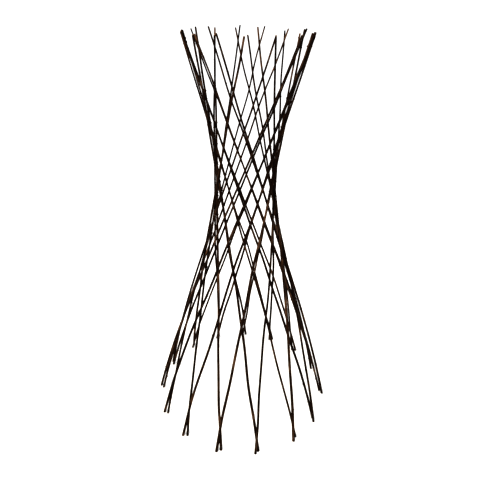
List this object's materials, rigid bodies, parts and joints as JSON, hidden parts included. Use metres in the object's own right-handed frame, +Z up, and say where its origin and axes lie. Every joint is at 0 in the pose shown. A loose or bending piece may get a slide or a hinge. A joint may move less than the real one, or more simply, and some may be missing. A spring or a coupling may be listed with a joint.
{
  "type": "garden obelisk",
  "caption": "Open hourglass obelisk of nearly straight willow rods, crossed and nailed into a lattice that gathers into a slim bundle.",
  "frame": {"origin": "on the ground, below the centre of the bounding box", "axes": "+Z up along the obelisk; +X and +Y level"},
  "size_m": [0.5834, 0.6336, 1.2018],
  "materials": {
    "willow_bark_1": "rough dark bark",
    "willow_bark_2": "rough dark bark",
    "willow_bark_3": "rough dark bark",
    "willow_bark_4": "rough dark bark",
    "nail_steel": "dull, darkened"
  },
  "bodies": {
    "waist_nail_01": {"waist_nail_01": "nail_steel"},
    "outer_rod_01": {"outer_rod_01": "willow_bark_1"},
    "inner_rod_01": {"inner_rod_01": "willow_bark_3"},
    "waist_nail_02": {"waist_nail_02": "nail_steel"},
    "outer_rod_02": {"outer_rod_02": "willow_bark_2"},
    "inner_rod_02": {"inner_rod_02": "willow_bark_4"},
    "waist_nail_03": {"waist_nail_03": "nail_steel"},
    "outer_rod_03": {"outer_rod_03": "willow_bark_3"},
    "inner_rod_03": {"inner_rod_03": "willow_bark_1"},
    "waist_nail_04": {"waist_nail_04": "nail_steel"},
    "outer_rod_04": {"outer_rod_04": "willow_bark_4"},
    "inner_rod_04": {"inner_rod_04": "willow_bark_2"},
    "waist_nail_05": {"waist_nail_05": "nail_steel"},
    "outer_rod_05": {"outer_rod_05": "willow_bark_1"},
    "inner_rod_05": {"inner_rod_05": "willow_bark_3"},
    "waist_nail_06": {"waist_nail_06": "nail_steel"},
    "outer_rod_06": {"outer_rod_06": "willow_bark_2"},
    "inner_rod_06": {"inner_rod_06": "willow_bark_4"},
    "waist_nail_07": {"waist_nail_07": "nail_steel"},
    "outer_rod_07": {"outer_rod_07": "willow_bark_3"},
    "inner_rod_07": {"inner_rod_07": "willow_bark_1"},
    "waist_nail_08": {"waist_nail_08": "nail_steel"},
    "outer_rod_08": {"outer_rod_08": "willow_bark_4"},
    "inner_rod_08": {"inner_rod_08": "willow_bark_2"},
    "waist_nail_09": {"waist_nail_09": "nail_steel"},
    "outer_rod_09": {"outer_rod_09": "willow_bark_1"},
    "inner_rod_09": {"inner_rod_09": "willow_bark_3"},
    "waist_nail_10": {"waist_nail_10": "nail_steel"},
    "outer_rod_10": {"outer_rod_10": "willow_bark_2"},
    "inner_rod_10": {"inner_rod_10": "willow_bark_4"},
    "waist_nail_11": {"waist_nail_11": "nail_steel"},
    "outer_rod_11": {"outer_rod_11": "willow_bark_3"},
    "inner_rod_11": {"inner_rod_11": "willow_bark_1"},
    "waist_nail_12": {"waist_nail_12": "nail_steel"},
    "outer_rod_12": {"outer_rod_12": "willow_bark_4"},
    "inner_rod_12": {"inner_rod_12": "willow_bark_2"},
    "waist_nail_13": {"waist_nail_13": "nail_steel"},
    "outer_rod_13": {"outer_rod_13": "willow_bark_1"},
    "inner_rod_13": {"inner_rod_13": "willow_bark_3"},
    "waist_nail_14": {"waist_nail_14": "nail_steel"},
    "outer_rod_14": {"outer_rod_14": "willow_bark_2"},
    "inner_rod_14": {"inner_rod_14": "willow_bark_4"},
    "waist_nail_15": {"waist_nail_15": "nail_steel"},
    "outer_rod_15": {"outer_rod_15": "willow_bark_3"},
    "inner_rod_15": {"inner_rod_15": "willow_bark_1"}
  },
  "joints": [
    {"name": "outer_pivot_01", "type": "hinge", "parent": "waist_nail_01", "child": "outer_rod_01", "pos_m": [0.05017, -0.07417, 0.78662], "axis": [0.5534, -0.8329, 0], "range_deg": [0, 14.5]},
    {"name": "inner_pivot_07", "type": "hinge", "parent": "waist_nail_01", "child": "inner_rod_07", "pos_m": [0.05017, -0.07417, 0.78662], "axis": [0.5793, -0.8151, 0], "range_deg": [-14.55, 0]},
    {"name": "waist_slide_02", "type": "slide", "parent": "waist_nail_01", "child": "waist_nail_02", "axis": [-0.682, -0.7314, 0], "range_m": [0, 0.02648]},
    {"name": "outer_pivot_02", "type": "hinge", "parent": "waist_nail_02", "child": "outer_rod_02", "pos_m": [0.07601, -0.04647, 0.78662], "axis": [0.8536, -0.521, 0], "range_deg": [0, 14.55]},
    {"name": "inner_pivot_08", "type": "hinge", "parent": "waist_nail_02", "child": "inner_rod_08", "pos_m": [0.07601, -0.04647, 0.78662], "axis": [0.8695, -0.4939, 0], "range_deg": [-14.55, 0]},
    {"name": "waist_slide_03", "type": "slide", "parent": "waist_nail_01", "child": "waist_nail_03", "axis": [-0.5224, -0.8527, -0.0052], "range_m": [0, 0.04949]},
    {"name": "outer_pivot_03", "type": "hinge", "parent": "waist_nail_03", "child": "outer_rod_03", "pos_m": [0.08736, -0.01348, 0.7826], "axis": [0.9917, -0.1288, 0], "range_deg": [0, 14.55]},
    {"name": "inner_pivot_09", "type": "hinge", "parent": "waist_nail_03", "child": "inner_rod_09", "pos_m": [0.08736, -0.01348, 0.7826], "axis": [0.9912, -0.1323, 0], "range_deg": [-14.55, 0]},
    {"name": "waist_slide_04", "type": "slide", "parent": "waist_nail_01", "child": "waist_nail_04", "axis": [-0.3259, -0.9453, -0.0106], "range_m": [0, 0.07226]},
    {"name": "outer_pivot_04", "type": "hinge", "parent": "waist_nail_04", "child": "outer_rod_04", "pos_m": [0.08411, 0.02428, 0.77455], "axis": [0.9421, 0.3355, 0], "range_deg": [0, 14.55]},
    {"name": "inner_pivot_10", "type": "hinge", "parent": "waist_nail_04", "child": "inner_rod_10", "pos_m": [0.08411, 0.02428, 0.77455], "axis": [0.9641, 0.2656, 0], "range_deg": [-14.55, 0]},
    {"name": "waist_slide_05", "type": "slide", "parent": "waist_nail_01", "child": "waist_nail_05", "axis": [-0.1436, -0.9896, -0.0072], "range_m": [0, 0.08912]},
    {"name": "outer_pivot_05", "type": "hinge", "parent": "waist_nail_05", "child": "outer_rod_05", "pos_m": [0.06864, 0.05303, 0.77657], "axis": [0.7593, 0.6508, 0], "range_deg": [0, 14.55]},
    {"name": "inner_pivot_11", "type": "hinge", "parent": "waist_nail_05", "child": "inner_rod_11", "pos_m": [0.06864, 0.05303, 0.77657], "axis": [0.7944, 0.6074, 0], "range_deg": [-14.55, 0]},
    {"name": "waist_slide_06", "type": "slide", "parent": "waist_nail_01", "child": "waist_nail_06", "axis": [0.0736, -0.9972, -0.011], "range_m": [0, 0.10487]},
    {"name": "outer_pivot_06", "type": "hinge", "parent": "waist_nail_06", "child": "outer_rod_06", "pos_m": [0.03904, 0.07675, 0.76851], "axis": [0.3811, 0.9245, 0], "range_deg": [0, 14.55]},
    {"name": "inner_pivot_12", "type": "hinge", "parent": "waist_nail_06", "child": "inner_rod_12", "pos_m": [0.03904, 0.07675, 0.76851], "axis": [0.4939, 0.8695, 0], "range_deg": [-14.55, 0]},
    {"name": "waist_slide_07", "type": "slide", "parent": "waist_nail_01", "child": "waist_nail_07", "axis": [0.2754, -0.9613, -0.0089], "range_m": [0, 0.11507]},
    {"name": "outer_pivot_07", "type": "hinge", "parent": "waist_nail_07", "child": "outer_rod_07", "pos_m": [0.00443, 0.08549, 0.77053], "axis": [-0.0105, 0.9999, 0], "range_deg": [0, 14.55]},
    {"name": "inner_pivot_13", "type": "hinge", "parent": "waist_nail_07", "child": "inner_rod_13", "pos_m": [0.00443, 0.08549, 0.77053], "axis": [0.0976, 0.9952, 0], "range_deg": [-14.55, 0]},
    {"name": "waist_slide_08", "type": "slide", "parent": "waist_nail_01", "child": "waist_nail_08", "axis": [0.4771, -0.8788, -0.0085], "range_m": [0, 0.12066]},
    {"name": "outer_pivot_08", "type": "hinge", "parent": "waist_nail_08", "child": "outer_rod_08", "pos_m": [-0.03293, 0.0789, 0.77053], "axis": [-0.4321, 0.9018, 0], "range_deg": [0, 14.55]},
    {"name": "inner_pivot_14", "type": "hinge", "parent": "waist_nail_08", "child": "inner_rod_14", "pos_m": [-0.03293, 0.0789, 0.77053], "axis": [-0.3322, 0.9432, 0], "range_deg": [-14.55, 0]},
    {"name": "waist_slide_09", "type": "slide", "parent": "waist_nail_01", "child": "waist_nail_09", "axis": [0.6461, -0.7632, -0.0053], "range_m": [0, 0.12065]},
    {"name": "outer_pivot_09", "type": "hinge", "parent": "waist_nail_09", "child": "outer_rod_09", "pos_m": [-0.06236, 0.05875, 0.77657], "axis": [-0.7385, 0.6743, 0], "range_deg": [0, 14.55]},
    {"name": "inner_pivot_15", "type": "hinge", "parent": "waist_nail_09", "child": "inner_rod_15", "pos_m": [-0.06236, 0.05875, 0.77657], "axis": [-0.6997, 0.7145, 0], "range_deg": [-14.55, 0]},
    {"name": "waist_slide_10", "type": "slide", "parent": "waist_nail_01", "child": "waist_nail_10", "axis": [0.788, -0.6156, -0.0044], "range_m": [0, 0.11564]},
    {"name": "outer_pivot_10", "type": "hinge", "parent": "waist_nail_10", "child": "outer_rod_10", "pos_m": [-0.08137, 0.02859, 0.77858], "axis": [-0.9432, 0.3322, 0], "range_deg": [0, 14.55]},
    {"name": "inner_pivot_01", "type": "hinge", "parent": "waist_nail_10", "child": "inner_rod_01", "pos_m": [-0.08137, 0.02859, 0.77858], "axis": [-0.9298, 0.3681, 0], "range_deg": [-14.55, 0]},
    {"name": "waist_slide_11", "type": "slide", "parent": "waist_nail_01", "child": "waist_nail_11", "axis": [0.8969, -0.4423, -0.0012], "range_m": [0, 0.10581]},
    {"name": "outer_pivot_11", "type": "hinge", "parent": "waist_nail_11", "child": "outer_rod_11", "pos_m": [-0.08677, -0.00663, 0.78461], "axis": [-0.999, -0.0454, 0], "range_deg": [0, 14.55]},
    {"name": "inner_pivot_02", "type": "hinge", "parent": "waist_nail_11", "child": "inner_rod_02", "pos_m": [-0.08677, -0.00663, 0.78461], "axis": [-0.9982, -0.0593, 0], "range_deg": [-14.55, 0]},
    {"name": "waist_slide_12", "type": "slide", "parent": "waist_nail_01", "child": "waist_nail_12", "axis": [0.9681, -0.2504, 0], "range_m": [0, 0.09157]},
    {"name": "outer_pivot_12", "type": "hinge", "parent": "waist_nail_12", "child": "outer_rod_12", "pos_m": [-0.07771, -0.0411, 0.78662], "axis": [-0.9018, -0.4321, 0], "range_deg": [0, 14.55]},
    {"name": "inner_pivot_03", "type": "hinge", "parent": "waist_nail_12", "child": "inner_rod_03", "pos_m": [-0.07771, -0.0411, 0.78662], "axis": [-0.8878, -0.4602, 0], "range_deg": [-14.55, 0]},
    {"name": "waist_slide_13", "type": "slide", "parent": "waist_nail_01", "child": "waist_nail_13", "axis": [0.9995, -0.03, 0.0053], "range_m": [0, 0.07184]},
    {"name": "outer_pivot_13", "type": "hinge", "parent": "waist_nail_13", "child": "outer_rod_13", "pos_m": [-0.05331, -0.07107, 0.79265], "axis": [-0.6481, -0.7615, 0], "range_deg": [0, 14.55]},
    {"name": "inner_pivot_04", "type": "hinge", "parent": "waist_nail_13", "child": "inner_rod_04", "pos_m": [-0.05331, -0.07107, 0.79265], "axis": [-0.5821, -0.8131, 0], "range_deg": [-14.55, 0]},
    {"name": "waist_slide_14", "type": "slide", "parent": "waist_nail_01", "child": "waist_nail_14", "axis": [0.9856, 0.1692, -0.0025], "range_m": [0, 0.05093]},
    {"name": "outer_pivot_14", "type": "hinge", "parent": "waist_nail_14", "child": "outer_rod_14", "pos_m": [-0.02204, -0.08657, 0.78461], "axis": [-0.2656, -0.9641, 0], "range_deg": [0, 14.55]},
    {"name": "inner_pivot_05", "type": "hinge", "parent": "waist_nail_14", "child": "inner_rod_05", "pos_m": [-0.02204, -0.08657, 0.78461], "axis": [-0.2521, -0.9677, 0], "range_deg": [-14.55, 0]},
    {"name": "waist_slide_15", "type": "slide", "parent": "waist_nail_01", "child": "waist_nail_15", "axis": [0.922, 0.3871, 0.0052], "range_m": [0, 0.02493]},
    {"name": "outer_pivot_15", "type": "hinge", "parent": "waist_nail_15", "child": "outer_rod_15", "pos_m": [0.01731, -0.08797, 0.78863], "axis": [0.1668, -0.986, 0], "range_deg": [0, 14.55]},
    {"name": "inner_pivot_06", "type": "hinge", "parent": "waist_nail_15", "child": "inner_rod_06", "pos_m": [0.01731, -0.08797, 0.78863], "axis": [0.2147, -0.9767, 0], "range_deg": [-14.55, 0]}
  ],
  "couplings": [
    {"joint": "inner_pivot_07", "follows": "outer_pivot_01", "ratio": -1},
    {"joint": "waist_slide_02", "follows": "outer_pivot_01", "m_per_rad": 0.10343},
    {"joint": "outer_pivot_02", "follows": "outer_pivot_01", "ratio": 1},
    {"joint": "inner_pivot_08", "follows": "outer_pivot_01", "ratio": -1},
    {"joint": "waist_slide_03", "follows": "outer_pivot_01", "m_per_rad": 0.19436},
    {"joint": "outer_pivot_03", "follows": "outer_pivot_01", "ratio": 1},
    {"joint": "inner_pivot_09", "follows": "outer_pivot_01", "ratio": -1},
    {"joint": "waist_slide_04", "follows": "outer_pivot_01", "m_per_rad": 0.28434},
    {"joint": "outer_pivot_04", "follows": "outer_pivot_01", "ratio": 1},
    {"joint": "inner_pivot_10", "follows": "outer_pivot_01", "ratio": -1},
    {"joint": "waist_slide_05", "follows": "outer_pivot_01", "m_per_rad": 0.35097},
    {"joint": "outer_pivot_05", "follows": "outer_pivot_01", "ratio": 1},
    {"joint": "inner_pivot_11", "follows": "outer_pivot_01", "ratio": -1},
    {"joint": "waist_slide_06", "follows": "outer_pivot_01", "m_per_rad": 0.41321},
    {"joint": "outer_pivot_06", "follows": "outer_pivot_01", "ratio": 1},
    {"joint": "inner_pivot_12", "follows": "outer_pivot_01", "ratio": -1},
    {"joint": "waist_slide_07", "follows": "outer_pivot_01", "m_per_rad": 0.4535},
    {"joint": "outer_pivot_07", "follows": "outer_pivot_01", "ratio": 1},
    {"joint": "inner_pivot_13", "follows": "outer_pivot_01", "ratio": -1},
    {"joint": "waist_slide_08", "follows": "outer_pivot_01", "m_per_rad": 0.47559},
    {"joint": "outer_pivot_08", "follows": "outer_pivot_01", "ratio": 1},
    {"joint": "inner_pivot_14", "follows": "outer_pivot_01", "ratio": -1},
    {"joint": "waist_slide_09", "follows": "outer_pivot_01", "m_per_rad": 0.47554},
    {"joint": "outer_pivot_09", "follows": "outer_pivot_01", "ratio": 1},
    {"joint": "inner_pivot_15", "follows": "outer_pivot_01", "ratio": -1},
    {"joint": "waist_slide_10", "follows": "outer_pivot_01", "m_per_rad": 0.45577},
    {"joint": "outer_pivot_10", "follows": "outer_pivot_01", "ratio": 1},
    {"joint": "inner_pivot_01", "follows": "outer_pivot_01", "ratio": -1},
    {"joint": "waist_slide_11", "follows": "outer_pivot_01", "m_per_rad": 0.41692},
    {"joint": "outer_pivot_11", "follows": "outer_pivot_01", "ratio": 1},
    {"joint": "inner_pivot_02", "follows": "outer_pivot_01", "ratio": -1},
    {"joint": "waist_slide_12", "follows": "outer_pivot_01", "m_per_rad": 0.36066},
    {"joint": "outer_pivot_12", "follows": "outer_pivot_01", "ratio": 1},
    {"joint": "inner_pivot_03", "follows": "outer_pivot_01", "ratio": -1},
    {"joint": "waist_slide_13", "follows": "outer_pivot_01", "m_per_rad": 0.28268},
    {"joint": "outer_pivot_13", "follows": "outer_pivot_01", "ratio": 1},
    {"joint": "inner_pivot_04", "follows": "outer_pivot_01", "ratio": -1},
    {"joint": "waist_slide_14", "follows": "outer_pivot_01", "m_per_rad": 0.20006},
    {"joint": "outer_pivot_14", "follows": "outer_pivot_01", "ratio": 1},
    {"joint": "inner_pivot_05", "follows": "outer_pivot_01", "ratio": -1},
    {"joint": "waist_slide_15", "follows": "outer_pivot_01", "m_per_rad": 0.097325},
    {"joint": "outer_pivot_15", "follows": "outer_pivot_01", "ratio": 1},
    {"joint": "inner_pivot_06", "follows": "outer_pivot_01", "ratio": -1}
  ]
}
